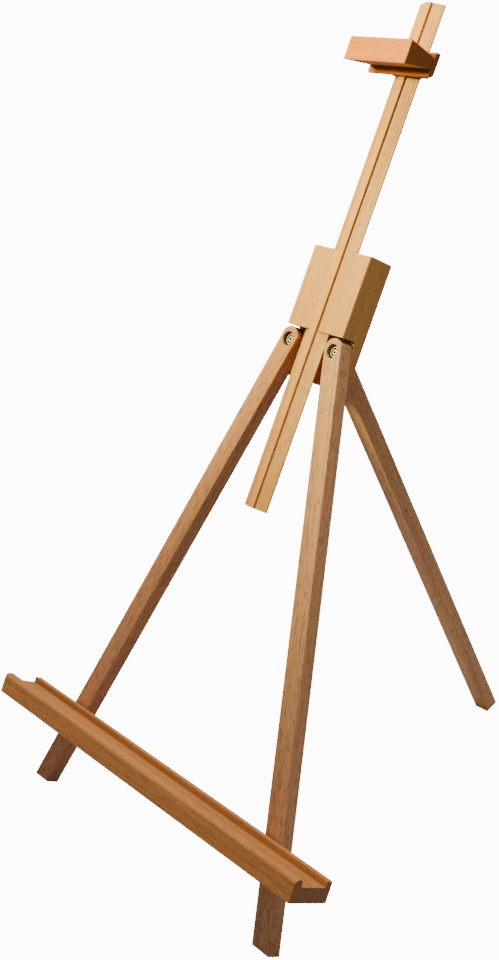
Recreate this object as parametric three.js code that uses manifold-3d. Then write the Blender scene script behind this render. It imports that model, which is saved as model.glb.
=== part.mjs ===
// Wooden tripod table easel: a head block carries a sliding dovetail mast with a
// canvas clamp, two splayed front legs with a canvas tray, and a folding rear leg.
// Millimetres, +Z up, +X to the painter's right, the front faces -Y.
// The origin is on the table, under the middle of the whole easel.
//
// Three nested frames are used. "Panel" is the plane of the front legs: X across,
// Y square to the panel towards the back, Z up along the slope, with Z = 0 where
// the panel meets the table. "Upper" is the head's own frame, leaned a little
// further back than the legs. "Rear" hangs from the rear leg's hinge pin.

import * as THREE from 'three';
import { mergeVertices } from 'three/addons/utils/BufferGeometryUtils.js';
import Module from 'manifold-3d';

const wasm = await Module();
wasm.setup();

const degrees = Math.PI / 180;

// ---- Driving dimensions -------------------------------------------------

// Stance
const legLean = 24.4 * degrees;        // the legs' panel, from upright
const headTilt = 1.4 * degrees;        // the head and mast lean back this much more
const splay = 16.5 * degrees;          // each front leg from the middle line
const rearAngle = 27.3 * degrees;      // the rear leg, from upright

// Clearances
const slideClearance = 0.3;            // between sliding pieces
const seatClearance = 0.3;             // between pieces screwed or glued together
const pinClearance = 0.15;             // round a shank, peg or pin in its hole
const ease = 0.8;                      // softened edge of the sanded wood

// Head block
const headWidth = 60;
const headDepth = 23;
const headHeight = 95.5;
const headBottom = 372;                // up the panel from the table
const headEase = 1.3;
const tongueHeight = 35.5;             // the thinner lower part behind the legs
const notchDepth = 12.4;               // the step that the legs' tops stand in
const headPivotHeight = 55.5;          // the tilt is set at this height of the block

// Front legs
const legWidth = 16.5;
const legThickness = 11.5;
const legInset = -0.4;                 // the legs' front against the head's front
const pivotSpacing = 48.4;             // between the two pivot bolts
const pivotBelowShoulder = 10.8;
const legTopRadius = 8.9;
const legTopGap = 1.2;                 // between the leg's top and the shoulder
const boltHeadRadius = 4;
const boltHeadHeight = 3;
const boltShankRadius = 2.9;
const socketRadius = 1.4;
const socketDepth = 2;
const dishOuterRadius = 3.1;           // the ring sunk into the head round its socket
const dishInnerRadius = 2.3;
const dishDepth = 0.8;
const counterboreRadius = 5.3;
const counterboreDepth = 7;
const pivotWasherRadius = 4.9;
const pivotWasherThickness = 0.8;
const legWasherRadius = 7;
const legInsertRadius = 4;
const legInsertDepth = 8;

// Rear leg: mitred at the top, on a butt hinge under the mitre
const rearWidth = 15;
const rearThickness = 12.4;
const hingeBelowShoulder = 18.7;       // the hinge pin, down the head's back
const leafWidth = 13.5;
const leafHeight = 17;
const leafThickness = 1;
const leafGap = 2;                     // between the leaves when the leg is folded
const middleKnuckle = 4.3;
const hingePinRadius = 0.9;
const hingeScrewBelow = 10.5;          // from the pin to the screws
const hingeScrewSpacing = 6.6;
const hingeScrewRadius = 1.1;
const hingeScrewHeadRadius = 1.9;
const hingeScrewTaper = 0.8;           // how much its head narrows through the leaf
const hingeScrewReach = 8;

// Mast: a flat rib between two falling dovetail shoulders
const mastLength = 377.5;
const mastBottom = 273;                // up the panel
const ribWidth = 6.2;
const ribHeight = 1.5;
const mastWidth = 24.6;
const shoulderFall = 3.7;              // from the rib's foot to the outer edge
const mastEdge = 1.1;                  // thickness left at the outer edge
const ribProud = 1.6;                  // the rib stands this far out of the head
const grooveMouthGap = 0.95;           // beside the rib, in the head's front

// Mast lock: a knob on a screw through the head's back
const lockHeight = 70;                 // above the head's bottom
const lockScrewRadius = 3;
const lockInsertRadius = 4.5;
const lockInsertDepth = 11;
const lockKnobRadius = 10;
const lockKnobThickness = 11;
const knobLobes = 6;
const knobLobeSteps = 12;              // facets round each lobe
const knobLobeDepth = 0.9;
const knobStandOff = 1.2;              // between the knob and the wood behind it
const insertFlange = 0.8;

// Canvas tray
const trayLength = 362;
const trayDepth = 34;
const trayHeight = 16;
const trayBottom = 59.2;               // up the panel
const trayFloor = 11;                  // wood under the channel
const frontLip = 6;
const frontLipTaper = 1.3;             // the front lip is thicker at its foot
const frontLipRound = 3.2;
const backLip = 5;
const backLipHeight = 15.3;
const pegRadius = 3;
const pegReach = 13;                   // out of the leg, under the tray
const pegSocket = 8.5;

// Canvas clamp on the mast
const clampWidth = 62;
const clampHeight = 17.2;
const clampBelowTop = 56.5;            // from the mast's top to the clamp's foot
const clampBlockDepth = 25;
const clampTopFall = 2.4;              // the top slopes down towards the mast
const clampUnderRise = 6.2;            // the underside slopes up towards the mast
const clampPlateThickness = 4.8;
const clampPlateRise = 1.2;            // the plate's foot above the block's foot
const clampPlateHeight = 17.8;
const clampPlateRound = 2;             // its round top edge and its chamfer below
const runnerCheek = 4.6;
const runnerFloor = 2.6;
const runnerHeight = 12;
const clampScrewRadius = 1.5;
const clampScrewHeadRadius = 2.9;
const clampScrewReach = 11;            // into the block
const clampKnobRadius = 6;
const clampKnobThickness = 5.5;
const clampStudRadius = 1.9;

const roundSteps = 32;                 // facets round a full circle
const beyond = 5;                      // how far a cutting shape passes its face

// ---- Sizes worked out from the above ------------------------------------

const shoulderZ = headBottom + tongueHeight;
const pivotZ = shoulderZ - pivotBelowShoulder;
const headPivotZ = headBottom + headPivotHeight;
const hingeZ = shoulderZ - hingeBelowShoulder - headPivotZ;
const leafInner = leafGap / 2;            // from the pin's middle to a leaf
const knuckleRadius = leafThickness + leafInner;
const hingeDepth = headDepth + seatClearance + knuckleRadius;
const rearFront = knuckleRadius + seatClearance;
const rearBack = rearFront + rearThickness;
const legBack = legInset + legThickness;
const easeCorner = ease * (1 - Math.SQRT1_2);   // what easing takes off an edge's corner
const footZ = legBack * Math.tan(legLean) - easeCorner * (1 + Math.tan(legLean));
const clampBottom = mastBottom + mastLength - clampBelowTop;
const mastThickness = ribHeight + shoulderFall + mastEdge;
const mastFront = -ribProud;
const mastBack = mastFront + mastThickness;
const trayBack = legInset - seatClearance;
const trayFront = trayBack - trayDepth;
const plateBack = mastFront - slideClearance;
const plateFront = plateBack - clampPlateThickness;
const blockBack = plateFront - seatClearance;
const blockFront = blockBack - clampBlockDepth;
const runnerInner = mastWidth / 2 + slideClearance;
const runnerOuter = runnerInner + runnerCheek;
const runnerBack = mastBack + slideClearance + runnerFloor;
const clampZ = clampBottom - headPivotZ;
const plateZ = clampZ + clampPlateRise;
const clampMiddle = plateZ + clampPlateHeight / 2;
const clampScrewX = (runnerInner + runnerOuter) / 2;
const lockZ = lockHeight - headPivotHeight;
const hingeScrewPlaces = [-hingeScrewSpacing / 2, hingeScrewSpacing / 2];
const foldAngle = rearAngle + legLean + headTilt;

// ---- Materials ----------------------------------------------------------

const beech = new THREE.MeshStandardMaterial({ color: 0xd9ad7c, roughness: 0.55, metalness: 0 });
const darkBeech = new THREE.MeshStandardMaterial({ color: 0xb97a42, roughness: 0.5, metalness: 0 });
const steel = new THREE.MeshStandardMaterial({ color: 0xc9c7c0, roughness: 0.3, metalness: 1 });
const brass = new THREE.MeshStandardMaterial({ color: 0xb8964e, roughness: 0.35, metalness: 1 });
const blackPlastic = new THREE.MeshStandardMaterial({ color: 0x1c1c1c, roughness: 0.5, metalness: 0 });

// ---- Shape helpers ------------------------------------------------------

// A closed geometry as a solid that can be joined and cut.
function solid(geometry) {
  const bare = geometry.index ? geometry.toNonIndexed() : geometry.clone();
  bare.deleteAttribute('normal');
  bare.deleteAttribute('uv');
  const merged = mergeVertices(bare, 1e-4);
  return new wasm.Manifold(new wasm.Mesh({
    numProp: 3,
    vertProperties: new Float32Array(merged.attributes.position.array),
    triVerts: new Uint32Array(merged.index.array),
  }));
}

function cut(body, ...tools) {
  return tools.reduce((left, tool) => left.subtract(solid(tool)), body);
}

function geometryOf(body) {
  const mesh = body.getMesh();
  const geometry = new THREE.BufferGeometry();
  const points = new Float32Array(mesh.numVert * 3);
  for (let i = 0; i < mesh.numVert; i++) {
    for (let k = 0; k < 3; k++) {
      points[3 * i + k] = mesh.vertProperties[mesh.numProp * i + k];
    }
  }
  geometry.setAttribute('position', new THREE.BufferAttribute(points, 3));
  geometry.setIndex(new THREE.BufferAttribute(new Uint32Array(mesh.triVerts), 1));
  geometry.computeVertexNormals();
  return geometry;
}

function piece(name, shape, material) {
  const geometry = shape.isBufferGeometry ? shape : geometryOf(shape);
  const mesh = new THREE.Mesh(geometry, material);
  mesh.name = name;
  return mesh;
}

// A box between two corners.
function box(low, high) {
  const size = high.map((value, i) => value - low[i]);
  const geometry = new THREE.BoxGeometry(...size);
  return geometry.translate(...low.map((value, i) => value + size[i] / 2));
}

// A round bar along Y from y0 to y1.
function barY(radius, y0, y1, x = 0, z = 0) {
  const geometry = new THREE.CylinderGeometry(radius, radius, y1 - y0, roundSteps);
  return geometry.translate(x, (y0 + y1) / 2, z);
}

// A round bar along X from x0 to x1.
function barX(radius, x0, x1) {
  const geometry = new THREE.CylinderGeometry(radius, radius, x1 - x0, roundSteps);
  geometry.rotateZ(Math.PI / 2);
  return geometry.translate((x0 + x1) / 2, 0, 0);
}

// A shape drawn in X and Z, given thickness along Y from y0 to y1, its edges eased.
function panelPlate(shape, y0, y1, edge = ease) {
  const bevel = edge > 0;
  const geometry = new THREE.ExtrudeGeometry(shape, {
    depth: y1 - y0 - 2 * edge,
    bevelEnabled: bevel,
    bevelThickness: edge,
    bevelSize: edge,
    bevelOffset: -edge,
    bevelSegments: 2,
    curveSegments: 12,
  });
  geometry.translate(0, 0, edge);
  geometry.rotateX(Math.PI / 2);
  return geometry.translate(0, y1, 0);
}

// A section drawn in depth and height, run along X over the given length.
function runAlongX(shape, length, edge = ease) {
  const geometry = new THREE.ExtrudeGeometry(shape, {
    depth: length - 2 * edge,
    bevelEnabled: edge > 0,
    bevelThickness: edge,
    bevelSize: edge,
    bevelOffset: -edge,
    bevelSegments: 2,
    curveSegments: 8,
  });
  geometry.translate(0, 0, edge - length / 2);
  geometry.rotateX(Math.PI / 2);
  return geometry.rotateZ(Math.PI / 2);
}

// A section drawn in X and depth, run up Z from z0 to z1.
function runUp(points, z0, z1) {
  const shape = new THREE.Shape(points.map(([x, y]) => new THREE.Vector2(x, y)));
  const geometry = new THREE.ExtrudeGeometry(shape, { depth: z1 - z0, bevelEnabled: false });
  return geometry.translate(0, 0, z0);
}

// A tube along Y: a washer, a ring or a threaded insert.
function ringY(outer, inner, y0, y1, x = 0, z = 0) {
  return cut(solid(barY(outer, y0, y1, x, z)), barY(inner, y0 - beyond, y1 + beyond, x, z));
}

// A brass threaded insert with a flange at its back end.
function insertY(outer, inner, y0, y1, x, z) {
  const sleeve = ringY(outer, inner, y0, y1, x, z);
  return sleeve.add(ringY(outer + insertFlange, inner, y1, y1 + insertFlange, x, z));
}

function rectangle(width, z0, z1) {
  const shape = new THREE.Shape();
  shape.moveTo(-width / 2, z0);
  shape.lineTo(width / 2, z0);
  shape.lineTo(width / 2, z1);
  shape.lineTo(-width / 2, z1);
  shape.closePath();
  return shape;
}

// A scalloped knob turned to face Y, with its screw in one piece.
function knob(radius, thickness, y0, screwRadius, screwTip) {
  const outline = new THREE.Shape();
  const steps = knobLobes * knobLobeSteps;
  for (let i = 0; i < steps; i++) {
    const angle = 2 * Math.PI * i / steps;
    const r = radius - knobLobeDepth * (1 - Math.cos(knobLobes * angle)) / 2;
    const method = i === 0 ? 'moveTo' : 'lineTo';
    outline[method](r * Math.cos(angle), r * Math.sin(angle));
  }
  outline.closePath();
  const grip = solid(panelPlate(outline, y0, y0 + thickness));
  return grip.add(solid(barY(screwRadius, screwTip, y0 + thickness / 2)));
}

// ---- Mast section -------------------------------------------------------

// The mast's outline in X and depth, grown by a clearance all round. The rib's
// sides and the falling shoulders are kept parallel to the mast's own.
function mastSection(grow, mouthGap = grow) {
  const rib = ribWidth / 2 + mouthGap;
  const edge = mastWidth / 2 + grow;
  const slope = shoulderFall / (mastWidth / 2 - ribWidth / 2);
  const foot = mastFront + ribHeight - grow * Math.hypot(1, slope);
  const shoulderAt = (x) => foot + (x - ribWidth / 2) * slope;
  const front = mastFront - grow;
  const back = mastBack + grow;
  const half = [[rib, front], [rib, shoulderAt(rib)], [edge, shoulderAt(edge)], [edge, back]];
  const mirrored = half.map(([x, y]) => [-x, y]).reverse();
  return [...mirrored, ...half];
}

// ---- Head block ---------------------------------------------------------
// Drawn in the upper frame, whose Z = 0 is the height where the tilt is set.

function headBlock() {
  const bottom = -headPivotHeight;
  const top = bottom + headHeight;
  const block = solid(panelPlate(rectangle(headWidth, bottom, top), 0, headDepth, headEase));

  const groove = runUp(mastSection(slideClearance, grooveMouthGap), bottom - beyond, top + beyond);
  const mouth = box(
    [-ribWidth / 2 - grooveMouthGap, -beyond, bottom - beyond],
    [ribWidth / 2 + grooveMouthGap, mastFront + ribHeight, top + beyond],
  );

  // The notch's floor lies in the legs' panel, so it is turned back by the tilt.
  const shoulder = bottom + tongueHeight;
  const notch = box(
    [-headWidth, -headDepth, -headHeight],
    [headWidth, notchDepth, shoulder],
  );
  notch.rotateX(headTilt);

  const boltHoles = [-1, 1].map((side) => {
    const hole = barY(legInsertRadius + pinClearance, 0, notchDepth + legInsertDepth,
      side * pivotSpacing / 2, pivotZ - headPivotZ);
    return hole.rotateX(headTilt);
  });

  return cut(block, groove, mouth, notch, ...boltHoles, ...headScrewHoles(),
    barY(lockScrewRadius + pinClearance, 0, headDepth + beyond, 0, lockZ),
    barY(lockInsertRadius + pinClearance, headDepth - lockInsertDepth, headDepth + beyond, 0, lockZ),
  );
}

// ---- Front legs ---------------------------------------------------------
// Drawn in the panel: a straight stick with a round top, its foot cut level.

function frontLeg(side) {
  const half = legWidth / 2;
  const capCentre = Math.sqrt(legTopRadius ** 2 - half ** 2);
  const capRise = pivotBelowShoulder - legTopRadius - legTopGap;
  const capAngle = Math.atan2(capCentre, half);
  const footAt = (across) => (footZ - pivotZ - across * Math.sin(splay) * side) / Math.cos(splay);
  const outline = new THREE.Shape();
  outline.moveTo(-half, footAt(-half));
  outline.lineTo(half, footAt(half));
  outline.absarc(0, capRise, legTopRadius, capAngle, Math.PI - capAngle, false);
  outline.closePath();

  const leg = panelPlate(outline, legInset, legBack);
  leg.rotateY(-side * splay);
  leg.translate(side * pivotSpacing / 2, 0, pivotZ);
  const x = side * pivotSpacing / 2;
  const peg = pegPlace(side);
  return cut(solid(leg),
    barY(counterboreRadius, legInset - beyond, legInset + counterboreDepth, x, pivotZ),
    barY(boltShankRadius + slideClearance, legInset, legBack + beyond, x, pivotZ),
    barY(pegRadius + pinClearance, legInset - beyond, legInset + pegSocket, peg.x, peg.z),
  );
}

// The peg stands on the leg's middle line, just under the tray.
function pegPlace(side) {
  const z = trayBottom - seatClearance - pegRadius;
  const x = side * (pivotSpacing / 2 + (pivotZ - z) * Math.tan(splay));
  return { x, z };
}

function trayPeg(side) {
  const { x, z } = pegPlace(side);
  return barY(pegRadius, legInset - pegReach, legInset + pegSocket - seatClearance, x, z);
}

function pivotBolt(side) {
  const x = side * pivotSpacing / 2;
  const seat = legInset + counterboreDepth - pivotWasherThickness - 2 * seatClearance;
  const headFront = seat - boltHeadHeight;
  const shankEnd = notchDepth + legInsertDepth - seatClearance;
  const bolt = solid(barY(boltHeadRadius, headFront, seat, x, pivotZ))
    .add(solid(barY(boltShankRadius, seat - boltHeadHeight / 3, shankEnd, x, pivotZ)));
  const socket = new THREE.CylinderGeometry(socketRadius, socketRadius, 2 * socketDepth, 6);
  socket.translate(x, headFront, pivotZ);
  const dish = ringY(dishOuterRadius, dishInnerRadius, headFront - dishDepth,
    headFront + dishDepth, x, pivotZ);
  return cut(bolt, socket).subtract(dish);
}

function pivotWasher(side) {
  const back = legInset + counterboreDepth - seatClearance;
  return ringY(pivotWasherRadius, boltShankRadius + pinClearance,
    back - pivotWasherThickness, back, side * pivotSpacing / 2, pivotZ);
}

// The leg turns against this washer, which fills the gap to the head's notch.
function legWasher(side) {
  return ringY(legWasherRadius, boltShankRadius + pinClearance,
    legBack + slideClearance, notchDepth - slideClearance, side * pivotSpacing / 2, pivotZ);
}

function legInsert(side) {
  return ringY(legInsertRadius, boltShankRadius + pinClearance,
    notchDepth + seatClearance, notchDepth + legInsertDepth - seatClearance,
    side * pivotSpacing / 2, pivotZ);
}

// ---- Tray ---------------------------------------------------------------

function tray() {
  const lipFoot = frontLip + frontLipTaper;
  const section = new THREE.Shape();
  section.moveTo(trayFront, 0);
  section.lineTo(trayBack, 0);
  section.lineTo(trayBack, backLipHeight);
  section.lineTo(trayBack - backLip, backLipHeight);
  section.lineTo(trayBack - backLip, trayFloor);
  section.lineTo(trayFront + lipFoot, trayFloor);
  section.lineTo(trayFront + frontLip, trayHeight);
  section.lineTo(trayFront + frontLipRound, trayHeight);
  section.absarc(trayFront + frontLipRound, trayHeight - frontLipRound, frontLipRound,
    Math.PI / 2, Math.PI, false);
  section.closePath();
  const body = runAlongX(section, trayLength, ease / 2);
  return body.translate(0, 0, trayBottom);
}

// ---- Mast and clamp, in the upper frame ---------------------------------

function mast() {
  const z0 = mastBottom - headPivotZ;
  return runUp(mastSection(0), z0, z0 + mastLength);
}

function clampBlock() {
  const side = new THREE.Shape();
  side.moveTo(blockFront, 0);
  side.lineTo(blockBack, clampUnderRise);
  side.lineTo(blockBack, clampHeight - clampTopFall);
  side.lineTo(blockFront, clampHeight);
  side.closePath();
  const block = runAlongX(side, clampWidth);
  block.translate(0, 0, clampZ);
  return cut(solid(block), ...screwHoles(blockBack - clampScrewReach, blockBack + beyond));
}

function screwHoles(y0, y1) {
  return [-1, 1].map((side) => barY(clampScrewRadius + pinClearance, y0, y1,
    side * clampScrewX, clampMiddle));
}

function clampPlate() {
  const side = new THREE.Shape();
  side.moveTo(plateFront, 0);
  side.lineTo(plateBack - clampPlateRound, 0);
  side.lineTo(plateBack, clampPlateRound);
  side.lineTo(plateBack, clampPlateHeight);
  side.lineTo(plateFront + clampPlateRound, clampPlateHeight);
  side.absarc(plateFront + clampPlateRound, clampPlateHeight - clampPlateRound,
    clampPlateRound, Math.PI / 2, Math.PI, false);
  side.closePath();
  const plate = runAlongX(side, clampWidth);
  plate.translate(0, 0, plateZ);
  return cut(solid(plate), ...screwHoles(plateFront - beyond, plateBack + beyond));
}

// The runner reaches round the mast from behind and is screwed to the plate.
function clampRunner() {
  const front = plateBack + seatClearance;
  const z0 = clampMiddle - runnerHeight / 2;
  const outline = rectangle(2 * runnerOuter, z0, z0 + runnerHeight);
  const groove = box(
    [-runnerInner, front - beyond, z0 - beyond],
    [runnerInner, mastBack + slideClearance, z0 + runnerHeight + beyond],
  );
  return cut(solid(panelPlate(outline, front, runnerBack, ease / 2)), groove,
    ...screwHoles(front - beyond, runnerBack + beyond),
    barY(clampStudRadius + pinClearance, 0, runnerBack + beyond, 0, clampMiddle));
}

function clampScrew(side) {
  const x = side * clampScrewX;
  const headBack = runnerBack + seatClearance + clampScrewRadius;
  const shank = solid(barY(clampScrewRadius, blockBack - clampScrewReach + seatClearance,
    headBack - clampScrewRadius / 2, x, clampMiddle));
  return shank.add(solid(barY(clampScrewHeadRadius, runnerBack + seatClearance, headBack,
    x, clampMiddle)));
}

// ---- Rear leg and its hinge ---------------------------------------------
// Drawn hanging from the hinge pin: Z up along the leg, Y towards its back.

// The mitred top is parallel to the head's back, which stops the opened leg.
function rearLeg(length) {
  const mitreAt = (y) => (y * Math.cos(foldAngle) + knuckleRadius) / Math.sin(foldAngle);
  const side = new THREE.Shape();
  side.moveTo(rearFront, -length);
  side.lineTo(rearBack, -length);
  side.lineTo(rearBack, mitreAt(rearBack));
  side.lineTo(rearFront, mitreAt(rearFront));
  side.closePath();
  const screws = hingeScrewPlaces.map((x) => barY(hingeScrewRadius + pinClearance,
    rearFront - beyond, rearFront + hingeScrewReach, x, -hingeScrewBelow));
  return cut(solid(runAlongX(side, rearWidth)), ...screws);
}

// A hinge leaf as it lies on the leg, its inner face towards the pin. The knuckles
// stand on the given stretches of the pin and the leaf is cut clear of the others.
function hingeLeaf(knuckles, clearances) {
  const plate = rectangle(leafWidth, -leafHeight, 0);
  const flat = solid(panelPlate(plate, leafInner, knuckleRadius, 0));
  const leaf = knuckles.reduce(
    (joined, [x0, x1]) => joined.add(solid(barX(knuckleRadius, x0, x1))), flat);
  const clear = clearances.map(([x0, x1]) => barX(knuckleRadius + seatClearance, x0, x1));
  const holes = hingeScrewPlaces.flatMap((x) => [
    barY(hingeScrewRadius + pinClearance, 0, knuckleRadius + beyond, x, -hingeScrewBelow),
    screwCone(hingeScrewHeadRadius + pinClearance, x),
  ]);
  return cut(leaf, ...clear, ...holes, barX(hingePinRadius + pinClearance, -leafWidth, leafWidth));
}

// The countersink or head of a hinge screw, widest at the leaf's inner face.
function screwCone(radius, x) {
  const narrow = radius - hingeScrewTaper;
  const geometry = new THREE.CylinderGeometry(narrow, radius, leafThickness, roundSteps);
  return geometry.translate(x, leafInner + leafThickness / 2, -hingeScrewBelow);
}

function hingeScrew(x) {
  const shank = barY(hingeScrewRadius, leafInner + leafThickness / 2,
    rearFront + hingeScrewReach - seatClearance, x, -hingeScrewBelow);
  return solid(screwCone(hingeScrewHeadRadius, x)).add(solid(shank));
}

// The head's leaf and screws are the leg's, seen from the pin's other side.
function mirrored(body) {
  return body.mirror([0, 1, 0]);
}

function headScrewHoles() {
  return hingeScrewPlaces.map((x) => barY(hingeScrewRadius + pinClearance,
    headDepth - hingeScrewReach, headDepth + beyond, x, hingeZ - hingeScrewBelow));
}

// ---- Assembly -----------------------------------------------------------

const easel = new THREE.Group();

const panel = new THREE.Group();
panel.rotation.x = -legLean;
easel.add(panel);

const upper = new THREE.Group();
upper.position.z = headPivotZ;
upper.rotation.x = -headTilt;
panel.add(upper);

const hinge = new THREE.Group();
hinge.position.set(0, hingeDepth, hingeZ);
upper.add(hinge);

const rear = new THREE.Group();
rear.rotation.x = foldAngle;
hinge.add(rear);

for (const [word, side] of [['left', -1], ['right', 1]]) {
  panel.add(
    piece(`${word}_leg`, frontLeg(side), beech),
    piece(`${word}_tray_peg`, trayPeg(side), beech),
    piece(`${word}_pivot_bolt`, pivotBolt(side), steel),
    piece(`${word}_pivot_washer`, pivotWasher(side), steel),
    piece(`${word}_leg_washer`, legWasher(side), steel),
    piece(`${word}_leg_insert`, legInsert(side), brass),
  );
}
panel.add(piece('canvas_tray', tray(), darkBeech));

const knobFront = headDepth + insertFlange + knobStandOff;
const clampKnobFront = runnerBack + knobStandOff;
upper.add(
  piece('head_block', headBlock(), beech),
  piece('mast', mast(), beech),
  piece('mast_lock_knob', knob(lockKnobRadius, lockKnobThickness, knobFront,
    lockScrewRadius, mastBack + slideClearance).translate([0, 0, lockZ]), blackPlastic),
  piece('mast_lock_insert', insertY(lockInsertRadius, lockScrewRadius + pinClearance,
    headDepth - lockInsertDepth + seatClearance, headDepth + seatClearance, 0, lockZ), brass),
  piece('clamp_block', clampBlock(), darkBeech),
  piece('clamp_plate', clampPlate(), darkBeech),
  piece('clamp_runner', clampRunner(), darkBeech),
  piece('clamp_screw_left', clampScrew(-1), steel),
  piece('clamp_screw_right', clampScrew(1), steel),
  piece('clamp_knob', knob(clampKnobRadius, clampKnobThickness, clampKnobFront,
    clampStudRadius, mastBack + slideClearance).translate([0, 0, clampMiddle]), blackPlastic),
);

// The rear leg is as long as its hinge is high, so that it stands on the table.
easel.updateMatrixWorld(true);
const pinHeight = hinge.getWorldPosition(new THREE.Vector3()).z;
const rearLength = (pinHeight + rearFront * Math.sin(rearAngle)) / Math.cos(rearAngle);
const knuckleEnd = leafWidth / 2;
const knuckleInner = middleKnuckle / 2 + seatClearance;
const sideKnuckles = [[-knuckleEnd, -knuckleInner], [knuckleInner, knuckleEnd]];
const middleKnuckles = [[-middleKnuckle / 2, middleKnuckle / 2]];
const middleSpace = [[-knuckleInner, knuckleInner]];
const sideSpaces = [[-leafWidth, -middleKnuckle / 2], [middleKnuckle / 2, leafWidth]];
rear.add(
  piece('rear_leg', rearLeg(rearLength), beech),
  piece('hinge_leg_leaf', hingeLeaf(middleKnuckles, sideSpaces), brass),
  piece('hinge_leg_screw_left', hingeScrew(hingeScrewPlaces[0]), brass),
  piece('hinge_leg_screw_right', hingeScrew(hingeScrewPlaces[1]), brass),
);
hinge.add(
  piece('hinge_head_leaf', mirrored(hingeLeaf(sideKnuckles, middleSpace)), brass),
  piece('hinge_head_screw_left', mirrored(hingeScrew(hingeScrewPlaces[0])), brass),
  piece('hinge_head_screw_right', mirrored(hingeScrew(hingeScrewPlaces[1])), brass),
  piece('hinge_pin', barX(hingePinRadius, -knuckleEnd, knuckleEnd), steel),
);

// Put the origin on the table, under the middle of the easel.
easel.updateMatrixWorld(true);
const bounds = new THREE.Box3().setFromObject(easel, true);
const middle = bounds.getCenter(new THREE.Vector3());
const part = new THREE.Group();
easel.position.set(-middle.x, -middle.y, -bounds.min.z);
part.add(easel);

export default part;
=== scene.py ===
"""Looks of the wooden tripod table easel: oiled beech, its bolts and knobs, and a plain studio."""

import math

import bmesh
import bpy
from mathutils import Matrix, Vector


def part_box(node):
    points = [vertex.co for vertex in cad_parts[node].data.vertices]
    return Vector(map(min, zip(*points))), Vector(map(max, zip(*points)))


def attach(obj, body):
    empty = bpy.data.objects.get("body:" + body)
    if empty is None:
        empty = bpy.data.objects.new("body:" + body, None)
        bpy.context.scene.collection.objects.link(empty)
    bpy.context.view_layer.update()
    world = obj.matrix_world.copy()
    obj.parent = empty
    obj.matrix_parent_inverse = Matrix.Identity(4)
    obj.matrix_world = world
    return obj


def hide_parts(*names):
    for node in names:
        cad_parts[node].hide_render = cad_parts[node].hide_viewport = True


bl_info = {
    "name": "Table Easel",
    "version": (1, 0, 0),
    "blender": (4, 5, 0),
    "location": "View3D > Sidebar > Easel",
    "description": "Finishes and studio for a wooden tripod table easel",
    "category": "Object",
}

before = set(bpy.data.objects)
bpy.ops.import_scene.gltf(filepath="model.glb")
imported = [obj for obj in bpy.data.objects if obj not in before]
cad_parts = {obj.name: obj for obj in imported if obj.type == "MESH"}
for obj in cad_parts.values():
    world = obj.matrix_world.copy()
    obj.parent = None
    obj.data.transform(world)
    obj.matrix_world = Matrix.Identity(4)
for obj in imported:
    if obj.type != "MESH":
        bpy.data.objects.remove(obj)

# ---- Frames of the easel, in metres -----------------------------------------
LEAN = math.radians(24.4)            # of the front legs' plane, to the back
TILT = math.radians(1.4)             # of the head, further back
SPLAY = math.radians(16.5)           # of a front leg, to its side
REAR = math.radians(27.3)            # of the rear leg, to the front
HEAD_PIVOT = 0.4275                  # from the legs' frame up the slope to the head's frame
MAST_BACK = 0.0047                   # the mast's top rear edge in the head's frame: back
MAST_TOP = 0.223                     # and up

# ---- Fittings, in metres ----------------------------------------------------
BOLT_HEAD = 0.003                    # thickness
BOLT_SHANK = 0.0029                  # radius
BOLT_TIP_EASE = 0.0004
BOLT_EDGE_EASE = 0.0001
BOLT_SIDES = 48
# The bolt head's rolled rim, sunk ring and middle: steps in from its edge, and depths.
BOLT_FACE = ((0, 0.0004), (0.0001, 0.00012), (0.0004, 0), (0.0008, 0), (0.0010, 0.0017),
             (0.0018, 0.0017), (0.0019, 0.0004), (0.0021, 0.0002))
# Its hexagon socket: reaches of the corners, and depths.
BOLT_SOCKET = ((0.00125, 0.0002), (0.00120, 0.0004), (0.00120, 0.0026))

KNOB_SIDES = 96
KNOB_LOBES = 6
KNOB_DIP = 0.0009                    # of the hollows between the lobes
# A knob's rounded back and front edges: steps in from its reach, and heights or depths.
KNOB_BACK = ((0.0010, 0), (0.0003, 0.0003), (0, 0.0010))
KNOB_FRONT = ((0, 0.0015), (0.0002, 0.0008), (0.0007, 0.0002), (0.0014, 0))
# Its dished face with the raised middle: shares of the reach, and depths.
KNOB_DISH = ((0.68, 0), (0.64, 0.0002), (0.60, 0.0008), (0.36, 0.0010), (0.33, 0.0006),
             (0.28, 0.0005))
LOCK_KNOB = 0.011                    # thicknesses
CLAMP_KNOB = 0.0055
LOCK_SCREW = 0.003                   # radii
CLAMP_SCREW = 0.0019
SCREW_TIP_EASE = 0.0006
SCREW_SIDES = 24
SMOOTH_BELOW = math.radians(35)

# ---- Patterns: how many repeats in a metre, across the grain and along it ---
BOARD_TONES = (30, 2.6)
GROWTH_STREAKS = (620, 9)
DARK_FLECKS = (1050, 170)
PALE_RAYS = (1000, 90)
END_PORES = (2600, 2600)
WORN_PATCHES = (55, 40)
METAL_SCRATCHES = (5200, 624)
METAL_CLOUDS = (420, 420)
PLASTIC_GRAIN = (2600, 2600)
PLASTIC_CLOUDS = (160, 160)
FLOOR_CLOUDS = (3, 3)

# ---- Parts of a pattern's range where its change lies -----------------------
BOARD_STEPS = (0.32, 0.52, 0.72)
STREAK_STEPS = (0.34, 0.50, 0.68)
FLECK_SPAN = (0.57, 0.64)
RAY_SPAN = (0.56, 0.68)
PORE_SPAN = (0.35, 0.65)
PATCH_SPAN = (0.40, 0.62)
END_SPAN = (0.75, 0.97)              # of how far a face looks along the grain
CREVICE_SHADE_SPAN = (0.20, 0.80)          # of how open a spot is, over which the painted shade in crevices fades out
MIDDLE = (0.3, 0.7)

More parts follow.
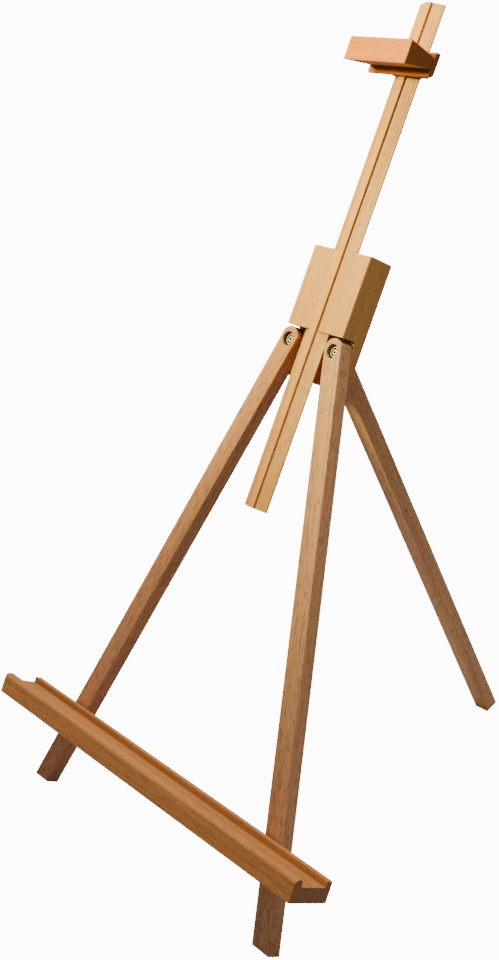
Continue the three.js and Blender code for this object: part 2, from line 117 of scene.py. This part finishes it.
# ---- Reaches and depths on the surface, in metres ---------------------------
WOOD_WEAR = 0.0011                   # from an edge to where its wear ends
METAL_WEAR = 0.0003
PLASTIC_WEAR = 0.0006
# Painted shade in gaps and inner corners: how far it reaches to the next face, on wood and on
# metal
WOOD_SHADE_REACH = 0.006                 # to the next face, for the painted shade in gaps
METAL_SHADE_REACH = 0.003
WOOD_EASE = 0.0006                   # radii of the softened edges
METAL_EASE = 0.0003
PLASTIC_EASE = 0.0006
WOOD_RELIEF = 0.0004                 # depths of the bumps
FINE_RELIEF = 0.0001
LOOKUPS = 6                          # samples that find an edge or a crevice
EDGE_GAIN = 6.0                      # how soon a bend counts as a whole edge

# ---- Tones, as shares of a piece's own colour -------------------------------
DEEP_BOARD = (0.86, 0.80, 0.74)
PALE_BOARD = 1.13
STREAK_TONES = (0.70, 0.98, 1.12)
FLECK_TONE = 0.36
RAY_TONE = 1.32
PORE_TONE = 0.34
END_TONE = 0.66
WORN_WOOD = (1.3, 0.03)              # these pairs are a share and a lift
DULL_METAL = (0.78, 0)
WORN_METAL = (1.2, 0.05)
FADED_PLASTIC = (1.6, 0.004)
WORN_PLASTIC = (1, 0.05)
MAST_TINT = (1.06, 1.03, 0.94)
LEFT_LEG_TINT = (0.98, 0.88, 0.83)
REAR_LEG_TINT = (1.06, 1.06, 1.06)

# ---- How strongly each detail shows -----------------------------------------
STREAKS_SHOW = 0.85
RAYS_SHOW = 0.30
END_GRAIN_SHOWS = 0.85
LEAST_WEAR = 0.15                    # between the worn patches
FITTING_WEAR = 0.5
# How dark the painted shade in gaps and inner corners gets, on wood and on metal
WOOD_PAINTED_SHADE_SHOWS = 0.85
METAL_PAINTED_SHADE_SHOWS = 0.97
FEW_FLECKS = 0.55                    # share of the flecks' depth on the finer boards

# ---- Gloss and bumps --------------------------------------------------------
OILED_ROUGHNESS = (0.56, 0.42)
FLECK_ROUGHNESS = 0.08               # added to the wood's
WOOD_SPECULAR = 0.30
OIL_COAT = 0.08
OIL_ROUGHNESS = 0.38
STREAK_HEIGHT = 0.6
FLECK_HEIGHT = -0.5
SCRATCHED_ROUGHNESS = 0.12           # added to the metals' between the scratches
METAL_BUMP = 0.15
PLASTIC_ROUGHNESS = (0.62, 0.46)
PLASTIC_BUMP = 0.25
FLOOR_ROUGHNESS = 0.7

# ---- Colours of the fittings and of the painted shade in crevices -----------
YELLOW_ZINC = (0.86, 0.75, 0.60)
SCREW_STEEL = (0.46, 0.45, 0.42)
ZINC_STEEL = (0.42, 0.39, 0.31)
TURNED_BRASS = (0.70, 0.52, 0.24)
BLACK_PLASTIC = (0.018, 0.018, 0.018)
# Painted shade colours for gaps and inner corners, on wood and on metal
WOOD_PAINTED_SHADE = (0.10, 0.06, 0.03)
METAL_PAINTED_SHADE = (0.03, 0.025, 0.02)

# ---- Turns that bring Z along each piece's grain, and where it is cut from --
ALONG_UPPER = (LEAN + TILT, 0.0, 0.0)
ACROSS_UPPER = (LEAN + TILT, -math.pi / 2, 0.0)
ACROSS_PANEL = (LEAN, -math.pi / 2, 0.0)
ALONG_PEG = (LEAN - math.pi / 2, 0.0, 0.0)
ALONG_REAR_LEG = (-REAR, 0.0, 0.0)
CUT_FROM = {
    "head_block": (0.31, 0.12, 0.4),
    "mast": (0.05, 0.27, 0.9),
    "left_leg": (-0.2, 0.5, -0.3),
    "right_leg": (0.2, 0.5, 0.3),
    "left_tray_peg": (0.4, -0.2, 0.1),
    "right_tray_peg": (0.4, 0.2, 0.1),
    "rear_leg": (0.7, 0.6, 0.1),
    "canvas_tray": (0.9, 0.1, 0.2),
    "clamp_block": (0.15, 0.3, 0.6),
    "clamp_plate": (0.45, 0.3, 0.6),
    "clamp_runner": (0.75, 0.3, 0.6),
}

# ---- Studio, in metres ------------------------------------------------------
FLOOR_REACH = 40                     # half its side
FLOOR_GREYS = (0.35, 0.38)
FLOOR_GLOWS = (0.96, 1.0)
SKY_COLOUR = (1, 0.98, 0.95, 1)
KEY_PLACE = Vector((-0.33, -0.85, 0.93))
KEY_TARGET = Vector((0.02, 0, 0.73))
KEY_COLOUR = (1, 0.94, 0.33)
KEY_SPREAD = math.radians(68)
KEY_RADIUS = 0.10
OVERHEAD_PLACE = Vector((-0.05, 0.04, 1.5))
OVERHEAD_TARGET = Vector((0, -0.1, 0.2))
OVERHEAD_COLOUR = (1, 0.97, 0.92)
OVERHEAD_SIDE = 0.5
CAMERA_PLACE = (0.77477, -0.49877, 0.62717)
CAMERA_TURNS = (51.94, -19.86, -0.668)    # degrees: aside, up, about its line of sight
CAMERA_LENS = 55.17                  # millimetres


def turn_x(angle):
    """A rotation about X."""
    return Matrix.Rotation(angle, 4, "X")


def panel_frame():
    """The plane of the front legs: X across, Y to the back, Z up along the slope."""
    upper = turn_x(-LEAN) @ Matrix.Translation((0, 0, HEAD_PIVOT)) @ turn_x(-TILT)
    top = upper @ Vector((0, MAST_BACK, MAST_TOP))
    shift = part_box("mast")[1].y - top.y
    return Matrix.Translation((0, shift, 0)) @ turn_x(-LEAN)


def upper_frame():
    """The head block's own frame, leaned a little further back."""
    return panel_frame() @ Matrix.Translation((0, 0, HEAD_PIVOT)) @ turn_x(-TILT)


# ---- Settings --------------------------------------------------------------
class EaselFinish(bpy.types.PropertyGroup):
    """Colours and wear of the easel."""

    beech: bpy.props.FloatVectorProperty(
        name="Beech", description="Base colour of the head and the mast", subtype="COLOR",
        size=3, min=0, max=1, default=(0.60, 0.266, 0.066))
    leg_beech: bpy.props.FloatVectorProperty(
        name="Leg beech", description="Base colour of the legs", subtype="COLOR",
        size=3, min=0, max=1, default=(0.548, 0.256, 0.110))
    tray_beech: bpy.props.FloatVectorProperty(
        name="Tray beech", description="Base colour of the canvas tray", subtype="COLOR",
        size=3, min=0, max=1, default=(0.50, 0.19, 0.045))
    clamp_beech: bpy.props.FloatVectorProperty(
        name="Clamp beech", description="Base colour of the canvas clamp", subtype="COLOR",
        size=3, min=0, max=1, default=(0.52, 0.145, 0.008))
    fleck_depth: bpy.props.FloatProperty(
        name="Flecks", description="How much the wood's short flecks darken it",
        subtype="FACTOR", min=0, max=1, default=0.65)
    edge_wear: bpy.props.FloatProperty(
        name="Edge wear", description="How much the handled edges are paled",
        subtype="FACTOR", min=0, max=1, default=0.35)
    grain_bump: bpy.props.FloatProperty(
        name="Grain bump", description="Height of the open grain",
        subtype="FACTOR", min=0, max=1, default=0.25)


class EaselStudio(bpy.types.PropertyGroup):
    """Light and floor of the studio."""

    key_power: bpy.props.FloatProperty(
        name="Key light", description="Power of the soft key light", unit="POWER",
        min=0, default=146)
    fill_power: bpy.props.FloatProperty(
        name="Fill light", description="Power of the wide overhead light", unit="POWER",
        min=0, default=23)
    world_strength: bpy.props.FloatProperty(
        name="Surroundings", description="Strength of the pale surroundings", min=0, default=0.345)
    floor_glow: bpy.props.FloatProperty(
        name="Floor glow", description="How much the pale floor shines by itself", min=0,
        default=12.0)


# ---- Shader helpers ---------------------------------------------------------
def new_material(name):
    """An empty node material and its shader."""
    material = bpy.data.materials.new(name)
    material.use_nodes = True
    tree = material.node_tree
    shader = next(n for n in tree.nodes if n.type == "BSDF_PRINCIPLED")
    return material, tree, shader


def add(tree, kind, **values):
    """A shader node with its settings and plain input values."""
    node = tree.nodes.new(kind)
    for key, value in values.items():
        if hasattr(node, key):
            setattr(node, key, value)
        else:
            node.inputs[key].default_value = value
    return node


def link(tree, source, target):
    """Joins an output to an input."""
    tree.links.new(source, target)


def ramp(tree, source, stops):
    """A colour ramp over a value."""
    node = tree.nodes.new("ShaderNodeValToRGB")
    elements = node.color_ramp.elements
    while len(elements) < len(stops):
        elements.new(0.5)
    for element, (place, colour) in zip(elements, stops):
        element.position = place
        element.color = (*colour, 1)
    link(tree, source, node.inputs["Fac"])
    return node.outputs["Color"]


def grey(value):
    """A grey of one value."""
    return (value, value, value)


def fade(tree, source, span, start, end):
    """A grey that goes from one value to another while the source crosses a span."""
    return ramp(tree, source, ((span[0], grey(start)), (span[1], grey(end))))


def mix(tree, kind, factor, first, second):
    """Mixes two colours; each of the three may be a socket or a plain value."""
    node = tree.nodes.new("ShaderNodeMix")
    node.data_type = "RGBA"
    node.blend_type = kind
    sockets = [socket for socket in node.inputs if socket.enabled]
    for socket, value in zip(sockets, (factor, first, second)):
        if isinstance(value, bpy.types.NodeSocket):
            link(tree, value, socket)
        elif socket.type == "RGBA":
            socket.default_value = (*value, 1)
        else:
            socket.default_value = value
    return next(socket for socket in node.outputs if socket.enabled)


def maths(tree, operation, first, second=0.0, clamp=False):
    """A maths node; each of the two may be a socket or a plain value."""
    node = tree.nodes.new("ShaderNodeMath")
    node.operation = operation
    node.use_clamp = clamp
    for socket, value in zip(node.inputs, (first, second)):
        if isinstance(value, bpy.types.NodeSocket):
            link(tree, value, socket)
        else:
            socket.default_value = value
    return node.outputs[0]


def object_coordinates(tree):
    """The piece's own coordinates and its surface directions."""
    coords = tree.nodes.new("ShaderNodeTexCoord")
    return coords.outputs["Object"], coords.outputs["Normal"]


def mapped(tree, source, turn, offset=(0, 0, 0)):
    """A vector turned and then moved."""
    mapping = tree.nodes.new("ShaderNodeMapping")
    mapping.inputs["Rotation"].default_value = turn
    mapping.inputs["Location"].default_value = offset
    link(tree, source, mapping.inputs["Vector"])
    return mapping.outputs["Vector"]


def stretched(tree, vector, repeats, **values):
    """A noise with its own number of repeats across the grain and along it."""
    across, along = repeats
    scale = tree.nodes.new("ShaderNodeVectorMath")
    scale.operation = "MULTIPLY"
    scale.inputs[1].default_value = (across, across, along)
    link(tree, vector, scale.inputs[0])
    noise = add(tree, "ShaderNodeTexNoise", Scale=1.0, **values)
    link(tree, scale.outputs["Vector"], noise.inputs["Vector"])
    return noise.outputs["Fac"]


def edge_mask(tree, radius):
    """How far the surface lies on an edge: 0 on a flat, rising towards 1 on a sharp edge."""
    bevel = add(tree, "ShaderNodeBevel", samples=LOOKUPS, Radius=radius)
    geometry = tree.nodes.new("ShaderNodeNewGeometry")
    dot = tree.nodes.new("ShaderNodeVectorMath")
    dot.operation = "DOT_PRODUCT"
    link(tree, bevel.outputs["Normal"], dot.inputs[0])
    link(tree, geometry.outputs["Normal"], dot.inputs[1])
    away = maths(tree, "SUBTRACT", 1.0, dot.outputs["Value"])
    return maths(tree, "MULTIPLY", away, EDGE_GAIN, clamp=True)


def with_painted_crevice_shade(tree, base, reach, painted_shade, depth):
    """Paints shade into a colour in narrow gaps and inner corners, darker the more nearby faces
    hem a spot in.
    """
    hidden = add(tree, "ShaderNodeAmbientOcclusion", samples=LOOKUPS, Distance=reach)
    amount = fade(tree, hidden.outputs["AO"], CREVICE_SHADE_SPAN, depth, 0)
    return mix(tree, "MIX", amount, base, painted_shade)


def tinted(colour, tint):
    """A colour with each of its parts scaled by the tint's."""
    return tuple(min(1, part * share) for part, share in zip(colour, tint))


def shade(colour, share, lift=0):
    """A colour made paler or darker."""
    return tuple(min(1, part * share + lift) for part in colour)


def roughen(tree, shader, height, strength, depth, edge):
    """Bumps the surface and softens its sharp edges."""
    rounded = add(tree, "ShaderNodeBevel", samples=LOOKUPS, Radius=edge)
    bump = add(tree, "ShaderNodeBump", Strength=strength, Distance=depth)
    link(tree, height, bump.inputs["Height"])
    link(tree, rounded.outputs["Normal"], bump.inputs["Normal"])
    link(tree, bump.outputs["Normal"], shader.inputs["Normal"])


def side_grain(tree, vector, colour, streaks, flecks, fleck_depth):
    """The wood's colour along the grain: board tones, growth streaks, flecks and pale rays."""
    board = stretched(tree, vector, BOARD_TONES, Detail=3, Roughness=0.55, Distortion=0.5)
    tones = (tinted(colour, DEEP_BOARD), colour, shade(colour, PALE_BOARD))
    base = ramp(tree, board, tuple(zip(BOARD_STEPS, tones)))
    bands = ramp(tree, streaks, tuple(zip(STREAK_STEPS, map(grey, STREAK_TONES))))
    base = mix(tree, "MULTIPLY", STREAKS_SHOW, base, bands)
    speck = maths(tree, "MULTIPLY", flecks, fleck_depth)
    base = mix(tree, "MIX", speck, base, shade(colour, FLECK_TONE))
    ray = stretched(tree, vector, PALE_RAYS, Detail=2, Roughness=0.5)
    amount = maths(tree, "MULTIPLY", fade(tree, ray, RAY_SPAN, 0, 1), RAYS_SHOW)
    return mix(tree, "MIX", amount, base, shade(colour, RAY_TONE))


def with_end_grain(tree, vector, normal, base, colour):
    """Darkens the faces that cut across the grain and gives them pores."""
    part = tree.nodes.new("ShaderNodeSeparateXYZ")
    link(tree, normal, part.inputs["Vector"])
    facing = maths(tree, "ABSOLUTE", part.outputs["Z"])
    end = fade(tree, facing, END_SPAN, 0, 1)
    pores = stretched(tree, vector, END_PORES, Detail=2, Roughness=0.6)
    tones = (shade(colour, PORE_TONE), shade(colour, END_TONE))
    tone = ramp(tree, pores, tuple(zip(PORE_SPAN, tones)))
    return mix(tree, "MIX", maths(tree, "MULTIPLY", end, END_GRAIN_SHOWS), base, tone)


def with_worn_edges(tree, vector, base, colour, wear):
    """Pales the handled edges in patches."""
    patches = stretched(tree, vector, WORN_PATCHES, Detail=3, Roughness=0.6)
    patchy = fade(tree, patches, PATCH_SPAN, LEAST_WEAR, 1)
    worn = maths(tree, "MULTIPLY", edge_mask(tree, WOOD_WEAR), patchy)
    worn = maths(tree, "MULTIPLY", worn, wear)
    return mix(tree, "MIX", worn, base, shade(colour, *WORN_WOOD))


def wood(name, colour, turn, offset, finish, flecked=1.0):
    """Oiled beech with its grain along one direction of the piece."""
    material, tree, shader = new_material(name)
    place, direction = object_coordinates(tree)
    vector = mapped(tree, place, turn, offset)
    normal = mapped(tree, direction, turn)
    streaks = stretched(tree, vector, GROWTH_STREAKS, Detail=4, Roughness=0.62, Distortion=0.25)
    fine = stretched(tree, vector, DARK_FLECKS, Detail=1, Roughness=0.5)
    flecks = fade(tree, fine, FLECK_SPAN, 0, 1)

    base = side_grain(tree, vector, colour, streaks, flecks, finish.fleck_depth * flecked)
    base = with_end_grain(tree, vector, normal, base, colour)
    base = with_worn_edges(tree, vector, base, colour, finish.edge_wear)
    # Painted shade: the wood is darker in gaps and inner corners
    base = with_painted_crevice_shade(tree, base, WOOD_SHADE_REACH, WOOD_PAINTED_SHADE, WOOD_PAINTED_SHADE_SHOWS)
    link(tree, base, shader.inputs["Base Color"])

    rough = fade(tree, streaks, MIDDLE, *OILED_ROUGHNESS)
    open_pores = maths(tree, "MULTIPLY", flecks, FLECK_ROUGHNESS)
    rough = maths(tree, "ADD", rough, open_pores, clamp=True)
    link(tree, rough, shader.inputs["Roughness"])
    shader.inputs["Specular IOR Level"].default_value = WOOD_SPECULAR
    shader.inputs["Coat Weight"].default_value = OIL_COAT
    shader.inputs["Coat Roughness"].default_value = OIL_ROUGHNESS

    height = maths(tree, "ADD", maths(tree, "MULTIPLY", streaks, STREAK_HEIGHT),
                   maths(tree, "MULTIPLY", flecks, FLECK_HEIGHT))
    roughen(tree, shader, height, finish.grain_bump, WOOD_RELIEF, WOOD_EASE)
    return material


def metal(name, colour, roughness):
    """Turned metal with fine scratches and duller patches."""
    material, tree, shader = new_material(name)
    vector, _ = object_coordinates(tree)
    cloud = stretched(tree, vector, METAL_CLOUDS, Detail=3, Roughness=0.6)
    tone = ramp(tree, cloud, tuple(zip(MIDDLE, (shade(colour, *DULL_METAL), colour))))
    wear = maths(tree, "MULTIPLY", edge_mask(tree, METAL_WEAR), FITTING_WEAR)
    tone = mix(tree, "MIX", wear, tone, shade(colour, *WORN_METAL))
    # Painted shade: the metal is darker in gaps and inner corners
    tone = with_painted_crevice_shade(tree, tone, METAL_SHADE_REACH, METAL_PAINTED_SHADE, METAL_PAINTED_SHADE_SHOWS)
    link(tree, tone, shader.inputs["Base Color"])
    shader.inputs["Metallic"].default_value = 1.0

    scratch = stretched(tree, vector, METAL_SCRATCHES, Detail=4, Roughness=0.7)
    rough = fade(tree, scratch, MIDDLE, roughness + SCRATCHED_ROUGHNESS, roughness)
    link(tree, rough, shader.inputs["Roughness"])
    roughen(tree, shader, scratch, METAL_BUMP, FINE_RELIEF, METAL_EASE)
    return material


def plastic(name, colour):
    """Moulded plastic with a fine texture, paler and smoother where hands rub it."""
    material, tree, shader = new_material(name)
    vector, _ = object_coordinates(tree)
    cloud = stretched(tree, vector, PLASTIC_CLOUDS, Detail=3, Roughness=0.6)
    tone = ramp(tree, cloud, tuple(zip(MIDDLE, (colour, shade(colour, *FADED_PLASTIC)))))
    rub = maths(tree, "MULTIPLY", edge_mask(tree, PLASTIC_WEAR), FITTING_WEAR)
    tone = mix(tree, "MIX", rub, tone, shade(colour, *WORN_PLASTIC))
    link(tree, tone, shader.inputs["Base Color"])

    rough = fade(tree, cloud, MIDDLE, *PLASTIC_ROUGHNESS)
    link(tree, rough, shader.inputs["Roughness"])
    grain = stretched(tree, vector, PLASTIC_GRAIN, Detail=2, Roughness=0.6)
    roughen(tree, shader, grain, PLASTIC_BUMP, FINE_RELIEF, PLASTIC_EASE)
    return material


# ---- Shape helpers ----------------------------------------------------------
def box_in(turn, node):
    """A CAD node's lowest and highest corners in a turned frame."""
    inverse = turn.inverted()
    points = [inverse @ vertex.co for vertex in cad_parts[node].data.vertices]
    return [Vector(pick(p[i] for p in points) for i in range(3)) for pick in (min, max)]


def circular(angle, reach):
    """A circle's outline."""
    return reach


def hexagonal(angle, reach):
    """A hexagon's outline; its corners have the given reach."""
    sixth = math.radians(60)
    return reach * math.cos(sixth / 2) / math.cos(angle % sixth - sixth / 2)


def lobed(angle, reach):
    """The knobs' outline: round lobes with shallow hollows between them."""
    return reach - KNOB_DIP * (1 - math.cos(KNOB_LOBES * angle)) / 2


def turned(sides, rings):
    """A closed shape raised ring by ring: each ring's reach, height and outline."""
    shape = bmesh.new()
    bmesh.ops.create_circle(shape, cap_ends=True, radius=1, segments=sides)
    face = shape.faces[:][0]
    for place, (reach, height, outline) in enumerate(rings):
        if place > 0:
            lifted = bmesh.ops.extrude_face_region(shape, geom=[face])
            if place > 1:
                bmesh.ops.delete(shape, geom=[face], context="FACES_ONLY")
            face = next(part for part in lifted["geom"] if isinstance(part, bmesh.types.BMFace))
        for vertex in face.verts:
            angle = math.atan2(vertex.co.y, vertex.co.x)
            vertex.co.xy = vertex.co.xy.normalized() * outline(angle, reach)
            vertex.co.z = height
    return shape


def finished_piece(name, shape, place, material, body):
    """Turns a shape into a piece in its place, which rides on a body."""
    bmesh.ops.recalc_face_normals(shape, faces=shape.faces)
    mesh = bpy.data.meshes.new(name)
    shape.to_mesh(mesh)
    shape.free()
    mesh.transform(place)
    mesh.materials.append(material)
    mesh.shade_smooth()
    mesh.set_sharp_from_angle(angle=SMOOTH_BELOW)
    thing = bpy.data.objects.new(name, mesh)
    bpy.context.scene.collection.objects.link(thing)
    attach(thing, body)
    return thing


def paint_node(node, material):
    """Gives a CAD node its finish."""
    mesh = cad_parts[node].data
    mesh.materials.clear()
    mesh.materials.append(material)


def oil_board(node, name, colour, turn, finish, flecked=1.0):
    """Gives a wooden CAD node its own piece of the grain."""
    paint_node(node, wood(name, colour, turn, CUT_FROM[node], finish, flecked))


# ---- Stage helpers ----------------------------------------------------------
def add_floor(glow):
    """A wide pale floor; its glow reaches the camera alone and lights nothing."""
    shape = bmesh.new()
    bmesh.ops.create_grid(shape, x_segments=1, y_segments=1, size=FLOOR_REACH)
    mesh = bpy.data.meshes.new("floor")
    shape.to_mesh(mesh)
    shape.free()
    material, tree, shader = new_material("pale_floor")
    vector, _ = object_coordinates(tree)
    cloud = stretched(tree, vector, FLOOR_CLOUDS, Detail=3, Roughness=0.5)
    link(tree, fade(tree, cloud, MIDDLE, *FLOOR_GREYS), shader.inputs["Base Color"])
    link(tree, fade(tree, cloud, MIDDLE, *FLOOR_GLOWS), shader.inputs["Emission Color"])
    seen = tree.nodes.new("ShaderNodeLightPath").outputs["Is Camera Ray"]
    link(tree, maths(tree, "MULTIPLY", seen, glow), shader.inputs["Emission Strength"])
    shader.inputs["Roughness"].default_value = FLOOR_ROUGHNESS
    mesh.materials.append(material)
    floor = bpy.data.objects.new("floor", mesh)
    bpy.context.scene.collection.objects.link(floor)


def add_surroundings(strength):
    """The pale light from all around."""
    world = bpy.data.worlds.new("studio")
    world.use_nodes = True
    background = world.node_tree.nodes["Background"]
    background.inputs["Color"].default_value = SKY_COLOUR
    background.inputs["Strength"].default_value = strength
    bpy.context.scene.world = world


def aim_light(light, place, target, power, colour):
    """Puts a light in its place, turned to its target."""
    light.color = colour
    light.energy = power
    lamp = bpy.data.objects.new(light.name, light)
    lamp.location = place
    lamp.rotation_euler = (place - target).to_track_quat("Z", "Y").to_euler()
    bpy.context.scene.collection.objects.link(lamp)


def add_lights(key_power, overhead_power):
    """The soft key light at the easel's upper part, and the wide light overhead."""
    key = bpy.data.lights.new("key", "SPOT")
    key.spot_size = KEY_SPREAD
    key.spot_blend = 1.0
    key.shadow_soft_size = KEY_RADIUS
    aim_light(key, KEY_PLACE, KEY_TARGET, key_power, KEY_COLOUR)
    overhead = bpy.data.lights.new("overhead", "AREA")
    overhead.size = OVERHEAD_SIDE
    aim_light(overhead, OVERHEAD_PLACE, OVERHEAD_TARGET, overhead_power, OVERHEAD_COLOUR)


def add_camera():
    """The camera, in front of the easel's right side and a little above it."""
    azimuth, pitch, roll = (math.radians(turn) for turn in CAMERA_TURNS)
    forward = Vector((-math.sin(azimuth) * math.cos(pitch),
                      math.cos(azimuth) * math.cos(pitch), math.sin(pitch)))
    right = Vector((math.cos(azimuth), math.sin(azimuth), 0))
    up = right.cross(forward)
    level = Matrix((right, up, -forward)).transposed()
    rolled = level @ Matrix.Rotation(roll, 3, "Z")
    data = bpy.data.cameras.new("camera")
    data.lens = CAMERA_LENS
    camera = bpy.data.objects.new("camera", data)
    x, y, z = CAMERA_PLACE
    shift = panel_frame().translation.y
    camera.matrix_world = Matrix.Translation((x, y + shift, z)) @ rolled.to_4x4()
    bpy.context.scene.collection.objects.link(camera)
    bpy.context.scene.camera = camera


# ---- Operators --------------------------------------------------------------
class EASEL_OT_head_and_mast(bpy.types.Operator):
    """Finishes the head block and the dovetail mast"""

    bl_idname = "easel.head_and_mast"
    bl_label = "Head and mast"

    def execute(self, context):
        finish = context.scene.easel_finish
        colour = tuple(finish.beech)
        oil_board("head_block", "beech_head", colour, ALONG_UPPER, finish, FEW_FLECKS)
        paler = tinted(colour, MAST_TINT)
        oil_board("mast", "beech_mast", paler, ALONG_UPPER, finish, FEW_FLECKS)
        return {"FINISHED"}


class EASEL_OT_legs(bpy.types.Operator):
    """Finishes the three legs and the tray's pegs"""

    bl_idname = "easel.legs"
    bl_label = "Legs"

    def execute(self, context):
        finish = context.scene.easel_finish
        colour = tuple(finish.leg_beech)
        redder = tinted(colour, LEFT_LEG_TINT)
        for word, splay, tone in (("left", -SPLAY, redder), ("right", SPLAY, colour)):
            along_leg = (LEAN, splay, 0.0)
            oil_board(f"{word}_leg", f"beech_{word}_leg", tone, along_leg, finish)
            oil_board(f"{word}_tray_peg", f"beech_{word}_peg", colour, ALONG_PEG, finish)
        paler = tinted(colour, REAR_LEG_TINT)
        oil_board("rear_leg", "beech_rear_leg", paler, ALONG_REAR_LEG, finish)
        return {"FINISHED"}


class EASEL_OT_tray_and_clamp(bpy.types.Operator):
    """Finishes the canvas tray and the canvas clamp, each in its own beech"""

    bl_idname = "easel.tray_and_clamp"
    bl_label = "Tray and clamp"

    def execute(self, context):
        finish = context.scene.easel_finish
        tray = tuple(finish.tray_beech)
        oil_board("canvas_tray", "tray_beech", tray, ACROSS_PANEL, finish, FEW_FLECKS)
        clamp = tuple(finish.clamp_beech)
        for node in ("clamp_block", "clamp_plate", "clamp_runner"):
            oil_board(node, f"beech_{node}", clamp, ACROSS_UPPER, finish, FEW_FLECKS)
        return {"FINISHED"}


class EASEL_OT_pivot_bolts(bpy.types.Operator):
    """Turns the two pivot bolts: a rolled rim, a sunk ring and a hexagon socket"""

    bl_idname = "easel.pivot_bolts"
    bl_label = "Pivot bolts"

    def execute(self, context):
        zinc = metal("yellow_zinc", YELLOW_ZINC, roughness=0.45)
        for word in ("left", "right"):
            node = f"{word}_pivot_bolt"
            low, high = box_in(panel_frame(), node)
            radius = (high.x - low.x) / 2
            tip = low.y + BOLT_HEAD - high.y
            rings = [(BOLT_SHANK - BOLT_TIP_EASE, tip, circular),
                     (BOLT_SHANK, tip + BOLT_TIP_EASE, circular),
                     (BOLT_SHANK, 0, circular),
                     (radius - BOLT_EDGE_EASE, 0, circular),
                     (radius, BOLT_EDGE_EASE, circular)]
            rings += [(radius - inset, BOLT_HEAD - depth, circular) for inset, depth in BOLT_FACE]
            rings += [(reach, BOLT_HEAD - depth, hexagonal) for reach, depth in BOLT_SOCKET]
            middle = Vector(((low.x + high.x) / 2, low.y + BOLT_HEAD, (low.z + high.z) / 2))
            place = panel_frame() @ Matrix.Translation(middle) @ turn_x(math.pi / 2)
            bolt = finished_piece(f"{word}_hex_bolt", turned(BOLT_SIDES, rings), place, zinc,
                                  "head")
            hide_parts(node)
        return {"FINISHED"}


class EASEL_OT_knobs(bpy.types.Operator):
    """Moulds the two lobed knobs with their dished faces, and turns their screws"""

    bl_idname = "easel.knobs"
    bl_label = "Knobs"

    def execute(self, context):
        black = plastic("black_plastic", BLACK_PLASTIC)
        steel = metal("screw_steel", SCREW_STEEL, roughness=0.32)
        for name, body, deep, thread in (("mast_lock", "mast_lock", LOCK_KNOB, LOCK_SCREW),
                                         ("clamp", "clamp_lock", CLAMP_KNOB, CLAMP_SCREW)):
            node = f"{name}_knob"
            low, high = box_in(upper_frame(), node)
            middle = Vector(((low.x + high.x) / 2, high.y, (low.z + high.z) / 2))
            place = upper_frame() @ Matrix.Translation(middle) @ turn_x(-math.pi / 2)
            wide = (high.x - low.x) / 2
            rings = [(wide - inset, rise - deep, lobed) for inset, rise in KNOB_BACK]
            rings += [(wide - inset, -depth, lobed) for inset, depth in KNOB_FRONT]
            rings += [(wide * share, -depth, circular) for share, depth in KNOB_DISH]
            knob = finished_piece(f"{name}_star_knob", turned(KNOB_SIDES, rings), place, black,
                                  body)
            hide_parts(node)
            tip = low.y - high.y
            rings = [(thread - SCREW_TIP_EASE, tip, circular),
                     (thread, tip + SCREW_TIP_EASE, circular),
                     (thread, -deep / 2, circular)]
            finished_piece(f"{name}_screw", turned(SCREW_SIDES, rings), place, steel,
                           body)
        return {"FINISHED"}


class EASEL_OT_fittings(bpy.types.Operator):
    """Finishes the washers, screws, inserts and the hinge"""

    bl_idname = "easel.fittings"
    bl_label = "Fittings"

    def execute(self, context):
        steel = metal("zinc_steel", ZINC_STEEL, roughness=0.34)
        brass = metal("turned_brass", TURNED_BRASS, roughness=0.26)
        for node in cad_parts:
            if node.endswith(("washer", "pin")) or node.startswith("clamp_screw"):
                paint_node(node, steel)
            elif node.endswith(("insert", "leaf")) or node.startswith("hinge_"):
                paint_node(node, brass)
        return {"FINISHED"}


class EASEL_OT_stage(bpy.types.Operator):
    """Makes the pale floor, the soft studio light and the camera"""

    bl_idname = "easel.stage"
    bl_label = "Stage"

    def execute(self, context):
        studio = context.scene.easel_studio
        add_floor(studio.floor_glow)
        add_surroundings(studio.world_strength)
        add_lights(studio.key_power, studio.fill_power)
        add_camera()
        return {"FINISHED"}


# ---- Panel and steps --------------------------------------------------------
class EASEL_PT_panel(bpy.types.Panel):
    """The easel's settings and steps"""

    bl_idname = "EASEL_PT_panel"
    bl_label = "Table easel"
    bl_space_type = "VIEW_3D"
    bl_region_type = "UI"
    bl_category = "Easel"

    def draw(self, context):
        layout = self.layout
        for group in (context.scene.easel_finish, context.scene.easel_studio):
            for name in group.__annotations__:
                layout.prop(group, name)
        for operator in STEPS:
            layout.operator(operator.bl_idname)


STEPS = (EASEL_OT_head_and_mast, EASEL_OT_legs, EASEL_OT_tray_and_clamp, EASEL_OT_pivot_bolts,
         EASEL_OT_knobs, EASEL_OT_fittings, EASEL_OT_stage)
CLASSES = (EaselFinish, EaselStudio, *STEPS, EASEL_PT_panel)


def register():
    """Registers the classes and the scene's settings."""
    for cls in CLASSES:
        bpy.utils.register_class(cls)
    bpy.types.Scene.easel_finish = bpy.props.PointerProperty(type=EaselFinish)
    bpy.types.Scene.easel_studio = bpy.props.PointerProperty(type=EaselStudio)


def unregister():
    """Removes them again."""
    del bpy.types.Scene.easel_studio
    del bpy.types.Scene.easel_finish
    for cls in reversed(CLASSES):
        bpy.utils.unregister_class(cls)


def main():
    """Builds the scene step by step."""
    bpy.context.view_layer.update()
    register()
    bpy.ops.easel.head_and_mast()
    bpy.ops.easel.legs()
    bpy.ops.easel.tray_and_clamp()
    bpy.ops.easel.pivot_bolts()
    bpy.ops.easel.knobs()
    bpy.ops.easel.fittings()
    bpy.ops.easel.stage()
    bpy.context.view_layer.update()


if __name__ == "__main__":
    main()
